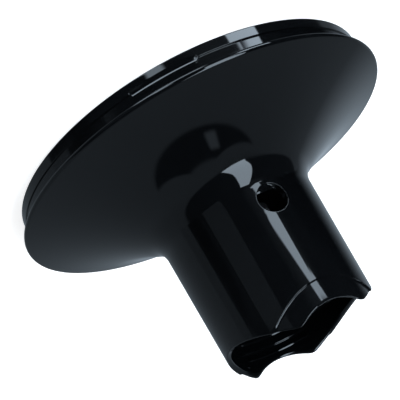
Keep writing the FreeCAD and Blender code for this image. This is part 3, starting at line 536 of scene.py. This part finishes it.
def bend_round_window(points, side, circle_r, half_y, reach, radius_at):
    """Move grid points near one window so that its block of cells ends on a circle.

    From the window's middle, s is measured sideways and t upwards.
    """
    s, t = points[..., 1].copy(), points[..., 2] - WINDOW_Z
    near = (np.sign(points[..., 0]) == side) & (np.abs(s) < reach) & (np.abs(t) < reach)
    near &= np.hypot(points[..., 0], s) > SOCKET_R - 1       # leaves out the socket's floor
    scale_t = half_y / WINDOW_BLOCK_Z
    spread = np.maximum(np.abs(s) / half_y, np.abs(t) / WINDOW_BLOCK_Z)
    limit = np.where(np.abs(s) / half_y >= np.abs(t) / WINDOW_BLOCK_Z,
                     reach / half_y, reach / WINDOW_BLOCK_Z)
    weight = np.clip((spread - 1) / (limit - 1), 0, 1)
    cosine, sine = circle_direction(s, t * scale_t)
    outward = weight * limit / np.maximum(spread, 1.0)
    new_s = (1 - weight) * circle_r * cosine + outward * s
    new_t = (1 - weight) * circle_r * sine + outward * t
    moved = near & (spread > 0.99)
    s = np.where(moved, new_s, s)
    z = np.where(moved, new_t + WINDOW_Z, points[..., 2])
    x = side * np.sqrt(np.clip(radius_at(z) ** 2 - s ** 2, 0, None))
    out = points.copy()
    out[..., 0] = np.where(moved, x, points[..., 0])
    out[..., 1] = s
    out[..., 2] = z
    return out


def block_loop(row_low, row_high, col_low, col_high, columns):
    """Grid indices round a block of cells, anticlockwise from its lower left corner."""
    loop = [(row_low, col) for col in range(col_low, col_high)]
    loop += [(row, col_high) for row in range(row_low, row_high)]
    loop += [(row_high, col) for col in range(col_high, col_low, -1)]
    loop += [(row, col_low) for row in range(row_high, row_low, -1)]
    return [(row, col % columns) for row, col in loop]


def window_wall(outer_loop, side):
    """Rings of points through the wall, inwards from the outer loop."""
    outer_loop = np.array(outer_loop)
    local = outer_loop[:, 1:] - [0, WINDOW_Z]
    direction = local / np.linalg.norm(local, axis=1)[:, None]
    wall = direction * WINDOW_R
    rings = []

    def ring(radial, x):
        rings.append(np.column_stack([x, radial[:, 0], radial[:, 1] + WINDOW_Z]))

    lip = direction * (WINDOW_R + WINDOW_EDGE)
    lip_x = side * np.sqrt(outer_radius(lip[:, 1] + WINDOW_Z) ** 2 - lip[:, 0] ** 2)
    ring(lip, lip_x)
    for turn in np.linspace(0, math.pi / 2, 6)[1:]:
        out = WINDOW_EDGE * (1 - math.sin(turn))
        ring(wall + direction * out, lip_x - side * WINDOW_EDGE * (1 - math.cos(turn)))

    def at_radius(radius, level):
        """A ring on a cylinder round the neck's axis, its low side raised to a level."""
        raised = np.column_stack([wall[:, 0], np.maximum(wall[:, 1], level)])
        ring(raised, side * np.sqrt(radius ** 2 - wall[:, 0] ** 2))

    # Each sill is a ramp that rises inwards, coaxial with the neck, and a level ledge behind it.
    radius = float(outer_radius(WINDOW_Z)) - WINDOW_EDGE - SILL_START
    foot = -WINDOW_R
    for high, ledge in zip(SILL_DROPS, SILL_LEDGES):
        for share in (0.0, 0.12, 0.5, 0.88, 1.0):
            level = foot + (-high - foot) * share
            at_radius(radius - SILL_SLOPE * (level - foot), level)
        radius -= SILL_SLOPE * (level - foot)
        at_radius(radius - CREASE_SILL, level)
        at_radius(radius - ledge + CREASE_SILL, level)
        radius -= ledge
        foot = level
    inner_x = side * np.sqrt(SOCKET_RELIEF_R ** 2 - wall[:, 0] ** 2)
    edge_in = WINDOW_EDGE_INSIDE
    at_radius(SOCKET_RELIEF_R + edge_in + CREASE_SILL, foot)
    for turn in np.linspace(math.pi / 2, 0, 4)[:-1]:
        out = edge_in * (1 - math.sin(turn))
        down = edge_in * (1 - math.cos(turn))
        ring(wall + direction * out, inner_x + side * down)
    return rings


def shell_grid(turns):
    """All rows of the shell, and the rows where the neck's end begins and stops."""
    rows = skirt_rows(turns) + flange_rows(turns) + flare_rows(turns) + neck_rows(turns)
    rim_start = len(rows)
    rows += rim_rows(turns, rows[-1])
    rim_stop = len(rows)
    rows += socket_rows(turns, rows[-1])
    rows += floor_rows(turns)
    return np.array(rows), rim_start, rim_stop


def bend_grid(grid, rim_start, rim_stop):
    """Bend the rows outside and inside the neck round both windows."""
    half_turn = math.radians(WINDOW_CELLS * 360 / SECTORS)
    for side in (-1, 1):
        grid[:rim_start] = bend_round_window(
            grid[:rim_start], side, WINDOW_R + WINDOW_EDGE + WINDOW_LIP,
            outer_radius(WINDOW_Z) * math.sin(half_turn), WARP_REACH, outer_radius)
        grid[rim_stop:] = bend_round_window(
            grid[rim_stop:], side, WINDOW_R + WINDOW_EDGE_INSIDE,
            SOCKET_RELIEF_R * math.sin(half_turn), WARP_REACH_INSIDE, lambda z: SOCKET_RELIEF_R)


def block_rows(heights, first, last):
    """The rows at the two ends of a window's block of cells, among rows first to last."""
    ends = (WINDOW_Z - WINDOW_BLOCK_Z, WINDOW_Z + WINDOW_BLOCK_Z)
    found = [first + int(np.argmin(np.abs(heights[first:last] - end))) for end in ends]
    return sorted(found)


def line_window(points, faces, grid, side, outer_loop, inner_loop):
    """Add the wall of one window, from its loop outside to its loop inside."""
    columns = grid.shape[1]
    loops = [[row * columns + col for row, col in outer_loop]]
    for ring in window_wall([grid[place] for place in outer_loop], side):
        start = len(points)
        points += [tuple(p) for p in ring]
        loops.append(list(range(start, start + len(ring))))
    loops.append([row * columns + col for row, col in inner_loop])
    for upper, lower in zip(loops, loops[1:]):
        for k in range(len(upper)):
            n = (k + 1) % len(upper)
            faces.append((upper[k], upper[n], lower[n], lower[k]))


def drop_unused(points, faces):
    used = sorted({index for face in faces for index in face})
    order = {index: place for place, index in enumerate(used)}
    return [points[index] for index in used], [[order[index] for index in face] for face in faces]


def lid_shell_mesh():
    """One closed grid wrapped over the shell, with two round windows let into it."""
    turns = sector_turns()
    grid, rim_start, rim_stop = shell_grid(turns)
    total, columns = grid.shape[:2]
    heights = grid[:, 0, 2].copy()
    outer_rows = block_rows(heights, 0, rim_start)
    inner_rows = block_rows(heights, rim_stop, total)
    bend_grid(grid, rim_start, rim_stop)
    points = [tuple(p) for p in grid.reshape(-1, 3)]
    faces = []
    removed = set()
    for side, azimuth in ((1, 0.0), (-1, math.pi)):
        middle = int(np.argmin(np.abs(turns - azimuth)))
        block = (middle - WINDOW_CELLS, middle + WINDOW_CELLS, columns)
        for first, last in (outer_rows, inner_rows):
            removed |= {(row, col % columns) for row in range(first, last)
                        for col in range(*block[:2])}
        # The inner grid runs downwards, so its loop is turned over to match the outer one.
        inner_loop = [(sum(inner_rows) - row, col) for row, col in block_loop(*inner_rows, *block)]
        line_window(points, faces, grid, side, block_loop(*outer_rows, *block), inner_loop)
    for row in range(total):
        for col in range(columns):
            if (row, col) not in removed:
                right, above = (col + 1) % columns, (row + 1) % total
                faces.append((row * columns + col, row * columns + right,
                              above * columns + right, above * columns + col))
    return drop_unused(points, faces)


# ------------------------------------------------------- bosses and ribs under the lid's flare

def under_flare(x, y):
    return float(flare_height(np.hypot(x, y), WALL)) + BURIED


def add_boss(points, faces, centre, radius, low, depth, steps=32):
    """A screw boss with a blind pilot hole, its top buried in the flare."""
    rings = []
    profile = ((radius, None), (radius, low + 0.3), (radius - 0.3, low), (PILOT_R + 0.2, low),
               (PILOT_R, low + 0.2), (PILOT_R, low + depth))
    for reach, z in profile:
        start = len(points)
        for turn in np.arange(steps) * 2 * math.pi / steps:
            x, y = centre[0] + reach * math.cos(turn), centre[1] + reach * math.sin(turn)
            points.append((x, y, under_flare(x, y) if z is None else z))
        rings.append(range(start, start + steps))
    for upper, lower in zip(rings, rings[1:]):
        for k in range(steps):
            n = (k + 1) % steps
            faces.append((upper[k], lower[k], lower[n], upper[n]))
    faces.append(list(rings[0]))
    faces.append(list(rings[-1])[::-1])


def add_rib(points, faces, angle, steps=14):
    """A radial rib whose top follows the flare."""
    start = len(points)
    for x in np.linspace(*RIB_X, steps):
        for side, top in ((-1, False), (1, False), (1, True), (-1, True)):
            y = side * RIB_HALF_WIDTH
            z = under_flare(x, y) if top else RIB_BOTTOM
            points.append((x * math.cos(angle) - y * math.sin(angle),
                           x * math.sin(angle) + y * math.cos(angle), z))
    for k in range(steps - 1):
        a, b = start + 4 * k, start + 4 * k + 4
        for i in range(4):
            j = (i + 1) % 4
            faces.append((a + i, b + i, b + j, a + j))
    faces.append((start, start + 1, start + 2, start + 3))
    end = start + 4 * (steps - 1)
    faces.append((end + 3, end + 2, end + 1, end))


def stiffener_mesh():
    points, faces = [], []
    for count, first, orbit, radius, low, depth in BOSSES:
        for index in range(count):
            turn = math.radians(first + 360 * index / count)
            centre = (orbit * math.cos(turn), orbit * math.sin(turn))
            add_boss(points, faces, centre, radius, low, depth)
    for index in range(RIB_COUNT):
        add_rib(points, faces, math.radians(RIB_FIRST_ANGLE + 360 * index / RIB_COUNT))
    return points, faces


# ---------------------------------------------------------------------------------- materials

class Nodes:
    """A short way to write the node tree of a material or of the world."""

    def __init__(self, owner):
        if isinstance(owner, str):
            owner = bpy.data.materials.new(owner)
            owner.use_nodes = True
        self.material = owner
        self.tree = owner.node_tree
        self.shader = next(n for n in self.tree.nodes
                           if n.type in ("BSDF_PRINCIPLED", "BACKGROUND"))

    def node(self, kind, **values):
        made = self.tree.nodes.new(kind)
        for key, value in values.items():
            if hasattr(made, key):
                setattr(made, key, value)
            else:
                made.inputs[key.replace("_", " ")].default_value = value
        return made

    def link(self, output, target):
        self.tree.links.new(output, target)

    def noise(self, scale, detail=3.0, roughness=0.5):
        place = self.node("ShaderNodeTexCoord").outputs["Object"]
        noise = self.node("ShaderNodeTexNoise", Scale=scale, Detail=detail, Roughness=roughness)
        self.link(place, noise.inputs["Vector"])
        return noise.outputs["Fac"]

    def math(self, operation, *values):
        made = self.node("ShaderNodeMath", operation=operation)
        for socket, value in zip(made.inputs, values):
            if isinstance(value, (int, float)):
                socket.default_value = value
            else:
                self.link(value, socket)
        return made.outputs["Value"]

    def dot(self, value, vector):
        made = self.node("ShaderNodeVectorMath", operation="DOT_PRODUCT")
        self.link(value, made.inputs[0])
        made.inputs[1].default_value = vector
        return made.outputs["Value"]

    def step(self, value, low, high):
        made = self.node("ShaderNodeMapRange", interpolation_type="SMOOTHSTEP",
                         From_Min=low, From_Max=high)
        self.link(value, made.inputs["Value"])
        return made.outputs["Result"]

    def ramp(self, value, low, high, first, last):
        spread = self.node("ShaderNodeMapRange", From_Min=low, From_Max=high,
                           To_Min=first, To_Max=last)
        self.link(value, spread.inputs["Value"])
        return spread.outputs["Result"]

    def colours(self, value, dark, light):
        mix = self.node("ShaderNodeMix", data_type="RGBA")
        self.link(value, mix.inputs["Factor"])
        mix.inputs["A"].default_value = (*dark, 1)
        mix.inputs["B"].default_value = (*light, 1)
        return mix.outputs["Result"]

    def bump(self, height, strength, distance):
        made = self.node("ShaderNodeBump", Strength=strength, Distance=distance)
        self.link(height, made.inputs["Height"])
        self.link(made.outputs["Normal"], self.shader.inputs["Normal"])


def gloss_black():
    """High-gloss moulded plastic: near black, with very fine waviness and faint dust and rubs."""
    m = Nodes("gloss_black")
    tone = m.colours(m.noise(60, 2), (0.0012, 0.0014, 0.0017), (0.0022, 0.0025, 0.003))
    m.link(tone, m.shader.inputs["Base Color"])
    haze = m.ramp(m.noise(90, 3, 0.5), 0.3, 0.7, 0.03, 0.055)
    m.link(haze, m.shader.inputs["Roughness"])
    m.shader.inputs["IOR"].default_value = 1.5
    m.bump(m.noise(26, 1, 0.3), 0.05, 0.00006)
    return m.material


def moulded(name, dark, light, roughness, grain, depth):
    """Satin plastic with a spark-eroded grain."""
    m = Nodes(name)
    m.link(m.colours(m.noise(35, 4), dark, light), m.shader.inputs["Base Color"])
    m.link(m.ramp(m.noise(grain, 3), 0.3, 0.7, roughness - 0.04, roughness + 0.04),
           m.shader.inputs["Roughness"])
    m.bump(m.noise(grain * 2.2, 2, 0.6), 0.25, depth)
    return m.material


def turned_steel():
    """Steel with fine lathe rings round the neck's axis."""
    m = Nodes("steel")
    place = m.node("ShaderNodeTexCoord").outputs["Object"]
    rings = m.node("ShaderNodeTexWave", wave_type="RINGS", rings_direction="Z",
                   Scale=900.0, Distortion=1.2, Detail=3.0)
    m.link(place, rings.inputs["Vector"])
    m.link(m.colours(m.noise(1400, 4), (0.5, 0.51, 0.52), (0.6, 0.61, 0.62)),
           m.shader.inputs["Base Color"])
    m.shader.inputs["Metallic"].default_value = 1.0
    m.link(m.ramp(rings.outputs["Fac"], 0, 1, 0.22, 0.38), m.shader.inputs["Roughness"])
    m.bump(rings.outputs["Fac"], 0.25, 0.00002)
    return m.material


def sintered_bronze():
    """Porous oil-filled bearing bronze."""
    m = Nodes("bronze")
    pores = m.noise(2600, 2, 0.8)
    m.link(m.colours(m.ramp(pores, 0.35, 0.6, 0, 1), (0.16, 0.09, 0.04), (0.52, 0.33, 0.16)),
           m.shader.inputs["Base Color"])
    m.shader.inputs["Metallic"].default_value = 0.9
    m.link(m.ramp(pores, 0.3, 0.7, 0.6, 0.34), m.shader.inputs["Roughness"])
    m.bump(pores, 0.4, 0.00003)
    return m.material


def seal_rubber():
    m = Nodes("seal_rubber")
    m.link(m.colours(m.noise(180, 5), (0.028, 0.028, 0.03), (0.055, 0.055, 0.058)),
           m.shader.inputs["Base Color"])
    m.link(m.ramp(m.noise(900, 3), 0.3, 0.7, 0.55, 0.75), m.shader.inputs["Roughness"])
    m.bump(m.noise(1500, 3, 0.6), 0.3, 0.00003)
    return m.material


MATERIALS = {
    "gloss_black": gloss_black(),
    "satin_black": moulded("satin_black", (0.022, 0.0225, 0.024), (0.034, 0.035, 0.037),
                           0.42, 900, 0.00004),
    "seal_rubber": seal_rubber(),
    "steel": turned_steel(),
    "bronze": sintered_bronze(),
    "gear_plastic": moulded("gear_plastic", (0.66, 0.63, 0.55), (0.78, 0.75, 0.68),
                            0.4, 700, 0.00003),
    "carrier_plastic": moulded("carrier_plastic", (0.08, 0.08, 0.084), (0.12, 0.12, 0.126),
                               0.5, 1100, 0.00005),
    "gear_case_plastic": moulded("gear_case_plastic", (0.13, 0.134, 0.14), (0.18, 0.184, 0.19),
                                 0.55, 1000, 0.00005),
    "washer_plastic": moulded("washer_plastic", (0.55, 0.5, 0.36), (0.68, 0.63, 0.5),
                              0.5, 800, 0.00003),
    "coupling_plastic": moulded("coupling_plastic", (0.12, 0.123, 0.128), (0.17, 0.173, 0.18),
                                0.3, 900, 0.00003),
}


def paint_cad_nodes():
    """Give every CAD node the finish of its slot in the record."""
    slots = {row["node"]: row["material_slot"] for row in frame["record"]["subparts"]}
    for name, node in frame["nodes"].items():
        node.data.materials.clear()
        node.data.materials.append(MATERIALS[slots[name]])


# ------------------------------------------------------------------------- camera and studio

def studio_camera():
    """The camera stands above the flare and is rolled, so that the lid hangs neck down."""
    data = bpy.data.cameras.new("camera")
    data.sensor_width = CAMERA_SENSOR
    data.lens = CAMERA_LENS
    data.clip_end = 30
    camera = bpy.data.objects.new("camera", data)
    bpy.context.scene.collection.objects.link(camera)
    bpy.context.scene.camera = camera
    forward = (CAMERA_AIM - CAMERA_PLACE).normalized()
    right = forward.cross(Vector((0, 0, 1))).normalized()
    down = -right.cross(forward)
    yaw, pitch, roll = CAMERA_TURNS
    turns = (Matrix.Rotation(roll, 3, "Z") @ Matrix.Rotation(pitch, 3, "X")
             @ Matrix.Rotation(yaw, 3, "Y"))
    axes = turns @ Matrix((right, down, forward))
    rotation = Matrix((axes[0], -axes[1], -axes[2])).transposed()
    spin = Matrix.Rotation(CAMERA_AZIMUTH, 4, "Z")
    camera.matrix_world = spin @ Matrix.Translation(CAMERA_PLACE) @ rotation.to_4x4()


def floor():
    """A plain white floor, clear from below. Reflections show the studio's panels instead of it."""
    mesh = bpy.data.meshes.new("floor")
    corners = ((-1, -1), (1, -1), (1, 1), (-1, 1))
    mesh.from_pydata([(x * FLOOR_REACH, y * FLOOR_REACH, 0) for x, y in corners], [], [(0, 1, 2, 3)])
    m = Nodes("floor")
    m.shader.inputs["Base Color"].default_value = (FLOOR_GREY, FLOOR_GREY, FLOOR_GREY, 1)
    m.shader.inputs["Roughness"].default_value = 1.0
    m.shader.inputs["Emission Color"].default_value = (1, 1, 1, 1)
    m.shader.inputs["Emission Strength"].default_value = FLOOR_GLOW
    clear = m.node("ShaderNodeBsdfTransparent")
    mix = m.node("ShaderNodeMixShader")
    m.link(m.node("ShaderNodeNewGeometry").outputs["Backfacing"], mix.inputs["Fac"])
    m.link(m.shader.outputs["BSDF"], mix.inputs[1])
    m.link(clear.outputs["BSDF"], mix.inputs[2])
    output = next(n for n in m.tree.nodes if n.type == "OUTPUT_MATERIAL")
    m.link(mix.outputs["Shader"], output.inputs["Surface"])
    mesh.materials.append(m.material)
    made = bpy.data.objects.new("floor", mesh)
    made.visible_glossy = False
    made.visible_shadow = False
    bpy.context.scene.collection.objects.link(made)


def sky_light():
    """One broad overhead light for the floor and the matt pieces."""
    data = bpy.data.lights.new("sky", "SUN")
    data.energy = SKY_STRENGTH
    data.angle = math.radians(SKY_WIDTH)
    made = bpy.data.objects.new("sky", data)
    made.visible_glossy = False
    made.rotation_euler = (*(math.radians(a) for a in SKY_TILT), 0)
    bpy.context.scene.collection.objects.link(made)


def panel_share(w, direction, azimuth, elevation, roll, left, right, down, up, soft, widening):
    """1 where a direction meets the panel and 0 elsewhere."""
    azimuth, elevation, roll = (math.radians(a) for a in (azimuth, elevation, roll))
    centre = Vector((math.cos(elevation) * math.cos(azimuth),
                     math.cos(elevation) * math.sin(azimuth), math.sin(elevation)))
    level = Vector((-math.sin(azimuth), math.cos(azimuth), 0))
    turn = Matrix.Rotation(roll, 3, centre)
    across, along = turn @ level, turn @ centre.cross(level)
    depth = w.dot(direction, centre)
    reach = w.math("MAXIMUM", depth, PANEL_FADE[0])
    side = w.math("DIVIDE", w.dot(direction, across), reach)
    rise = w.math("DIVIDE", w.dot(direction, along), reach)
    if widening:
        grown = w.math("MULTIPLY_ADD", rise, widening, 1 - widening * (down + up) / 2)
        side = w.math("DIVIDE", side, w.math("MAXIMUM", grown, PANEL_NARROWEST))
    share = w.step(depth, *PANEL_FADE)
    for value, edge, sign in ((side, left, 1), (side, right, -1), (rise, down, 1), (rise, up, -1)):
        low, high = edge - sign * soft / 2, edge + sign * soft / 2
        share = w.math("MULTIPLY", share, w.step(value, low, high))
    return share


def world():
    """White to the camera; to reflections and soft light, the dim studio with its panels."""
    made = bpy.data.worlds.new("studio")
    made.use_nodes = True
    w = Nodes(made)
    direction = w.node("ShaderNodeTexCoord").outputs["Generated"]
    front = w.dot(direction, Vector((1, 0, 0)))
    in_front = w.step(front, -FRONT_BLEND, FRONT_BLEND)
    level = w.ramp(in_front, 0, 1, BACK_LEVEL, FRONT_LEVEL)
    for *place, strength in FLAGS:
        share = panel_share(w, direction, *place)
        level = w.math("MULTIPLY", level, w.math("MULTIPLY_ADD", share, -strength, 1.0))
    for *place, strength in PANELS:
        share = panel_share(w, direction, *place)
        level = w.math("MAXIMUM", level, w.math("MULTIPLY", share, strength))
    tint = w.node("ShaderNodeVectorMath", operation="SCALE")
    tint.inputs[0].default_value = TINT
    w.link(level, tint.inputs["Scale"])
    seen = w.node("ShaderNodeLightPath").outputs["Is Camera Ray"]
    mix = w.node("ShaderNodeMix", data_type="RGBA")
    w.link(seen, mix.inputs["Factor"])
    w.link(tint.outputs["Vector"], mix.inputs["A"])
    mix.inputs["B"].default_value = (1, 1, 1, 1)
    w.link(mix.outputs["Result"], w.shader.inputs["Color"])
    bpy.context.scene.world = made


def lid_shell():
    points, faces = lid_shell_mesh()
    piece = make_piece("lid_shell_skin", points, faces, "lid", "gloss_black")
    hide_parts("lid_shell")


def stiffeners():
    points, faces = stiffener_mesh()
    piece = make_piece("lid_shell_stiffeners", points, faces, "lid", "gloss_black")
    piece.data.shade_flat()


paint_cad_nodes()
lid_shell()
stiffeners()
studio_camera()
floor()
sky_light()
world()
bpy.context.scene.view_settings.view_transform = "Standard"
